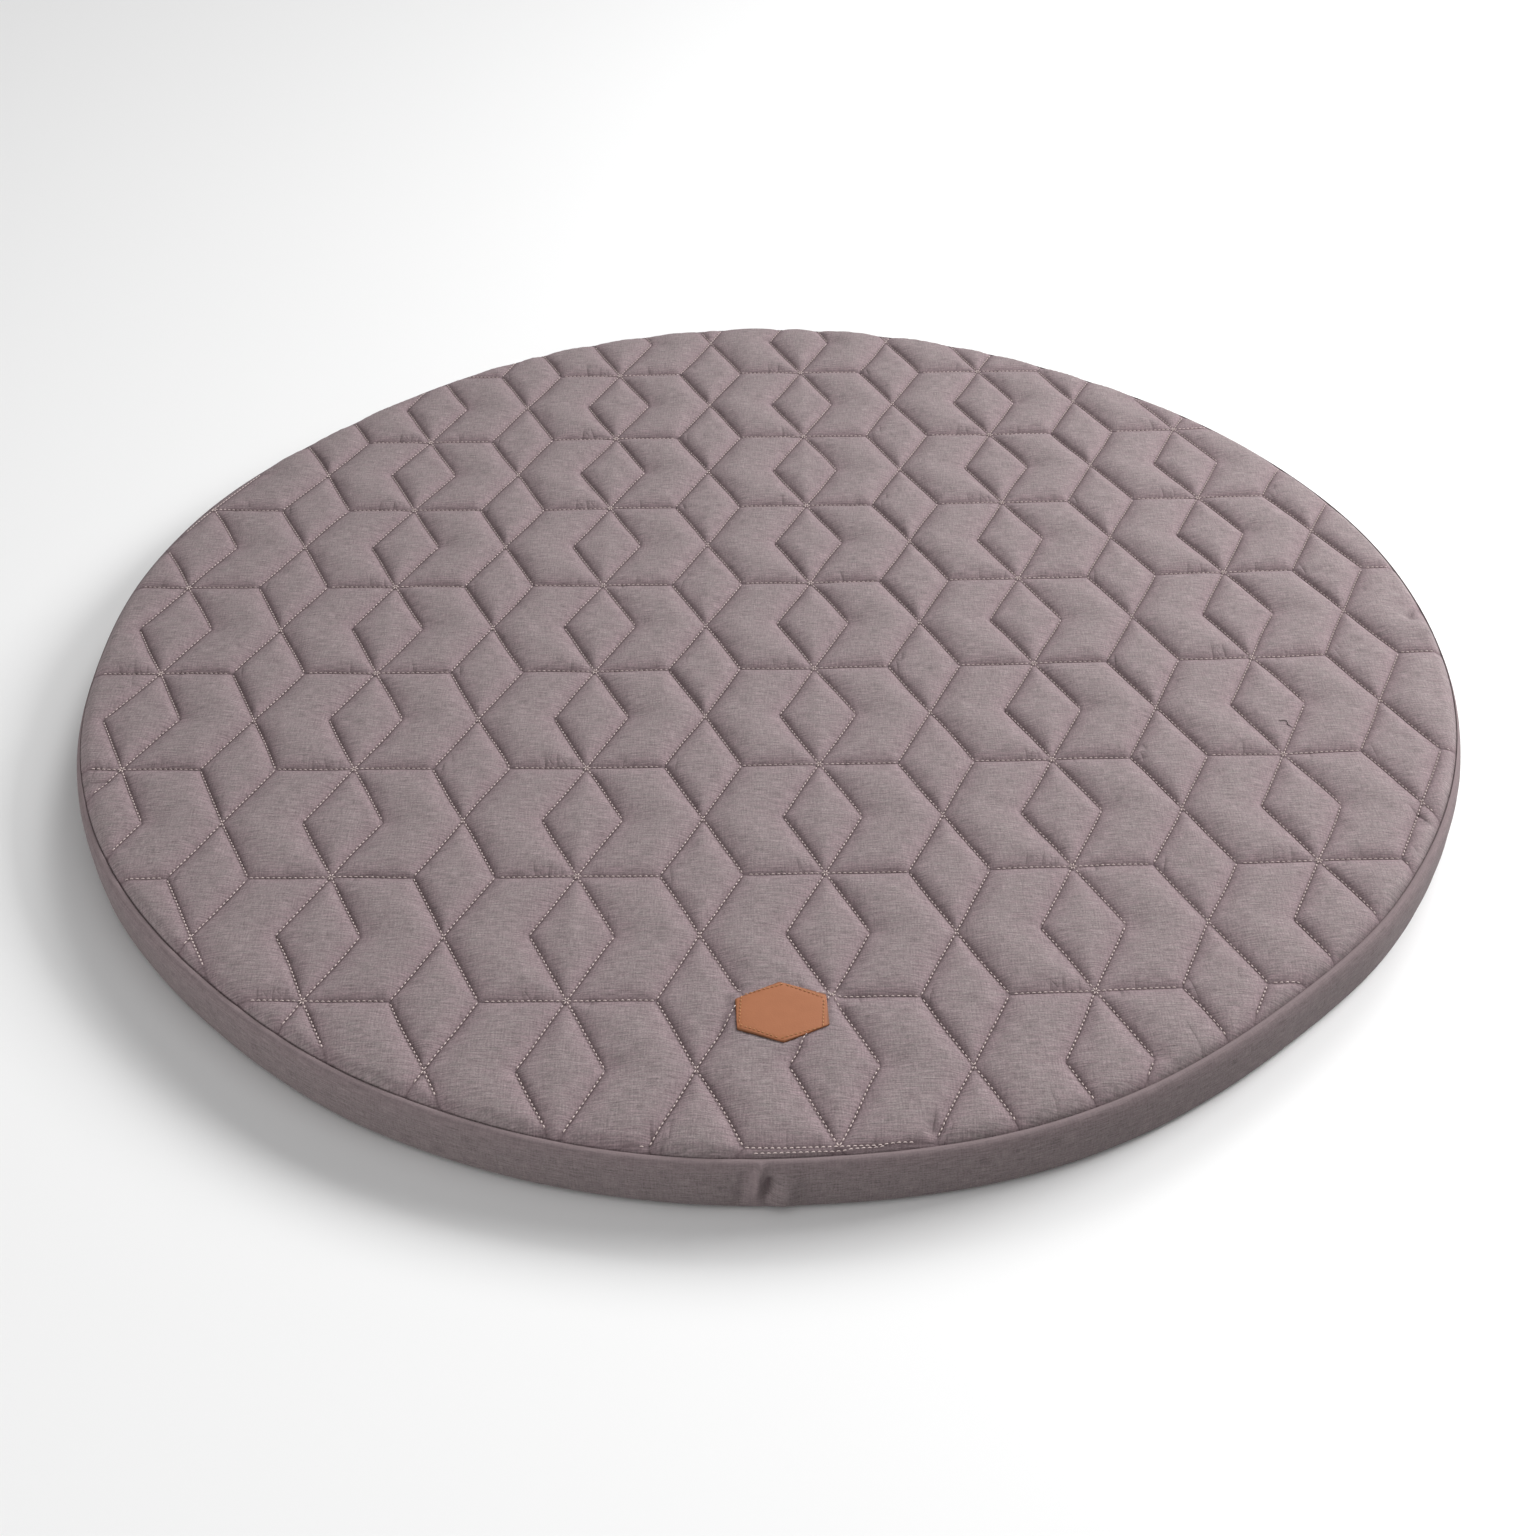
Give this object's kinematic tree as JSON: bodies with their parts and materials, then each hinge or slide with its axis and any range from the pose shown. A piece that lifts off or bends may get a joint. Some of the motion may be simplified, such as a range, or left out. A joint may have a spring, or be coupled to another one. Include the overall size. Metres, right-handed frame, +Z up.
{
  "type": "baby play mat",
  "caption": "Round quilted baby play mat: a filled pad sewn in rhombi and chevrons, with a side band, a base panel and a plain leather label.",
  "frame": {"origin": "middle of the underside, on the floor", "axes": "+Z up, square to the floor; the leather label is towards -Y; +X to the right when the label is nearest"},
  "size_m": [0.9484, 0.9563, 0.0467],
  "materials": {
    "quilted_cloth": "matt two-tone woven cotton, quilted",
    "band_cloth": "matt two-tone woven cotton, plain",
    "base_cloth": "matt two-tone woven cotton, plain",
    "tan_leather": "smooth tan leather, slightly waxy"
  },
  "bodies": {
    "root": {"quilted_pad": "quilted_cloth", "side_band": "band_cloth", "base_panel": "base_cloth", "leather_label": "tan_leather"}
  },
  "joints": []
}
